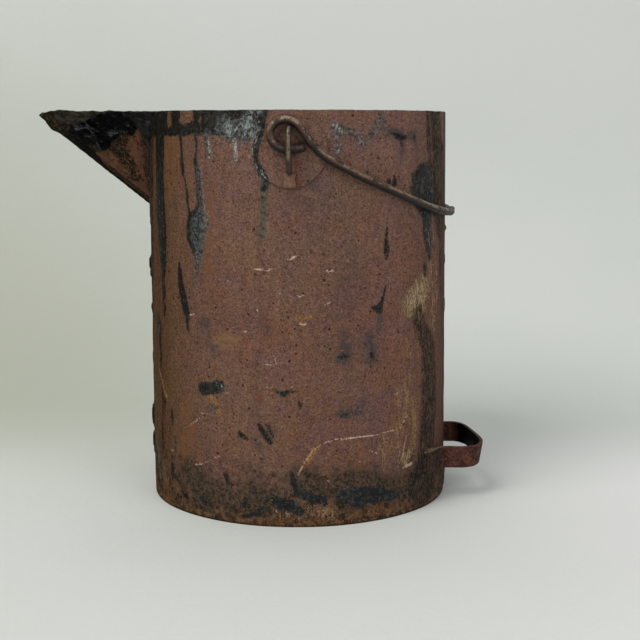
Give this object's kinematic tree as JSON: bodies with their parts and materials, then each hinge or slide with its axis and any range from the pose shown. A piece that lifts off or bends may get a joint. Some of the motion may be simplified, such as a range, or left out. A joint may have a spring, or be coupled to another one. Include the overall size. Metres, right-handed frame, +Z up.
{
  "type": "tar pouring bucket",
  "caption": "Open cylindrical sheet-steel bucket with a V-shaped pouring spout at the rim, a hinged round-rod bail and a low strap handle for tipping.",
  "frame": {"origin": "centre of the bucket's round footprint, on the underside of the base plate, at ground level", "axes": "+Z up, out of the bucket's mouth; the spout points along -X and the tipping handle along +X; the two bail ears stand on -Y and +Y"},
  "size_m": [0.3532, 0.2674, 0.305],
  "materials": {
    "rusted_sheet": "matte red-brown rust over sheet steel, with dried tar runs, dark pits and pale scratches",
    "tarred_sheet": "rusted sheet steel under thick, wrinkled, half-glossy dried tar",
    "worn_rod": "dark brown-grey forged rod, satin where hands and use have rubbed it",
    "rusted_strap": "dark reddish-brown rusted flat bar, matte"
  },
  "bodies": {
    "bucket": {"body_shell": "rusted_sheet", "base_pan": "tarred_sheet", "spout": "tarred_sheet", "ear_plate_near": "rusted_sheet", "ear_plate_far": "rusted_sheet", "ear_staple_near": "worn_rod", "ear_staple_far": "worn_rod", "tipping_handle": "rusted_strap"},
    "bail": {"bail_handle": "worn_rod"}
  },
  "joints": [
    {"name": "bail_swing", "type": "hinge", "parent": "bucket", "child": "bail", "pos_m": [-0.0023, 0, 0.2878], "axis": [0, -1, 0], "range_deg": [0, 196]}
  ]
}
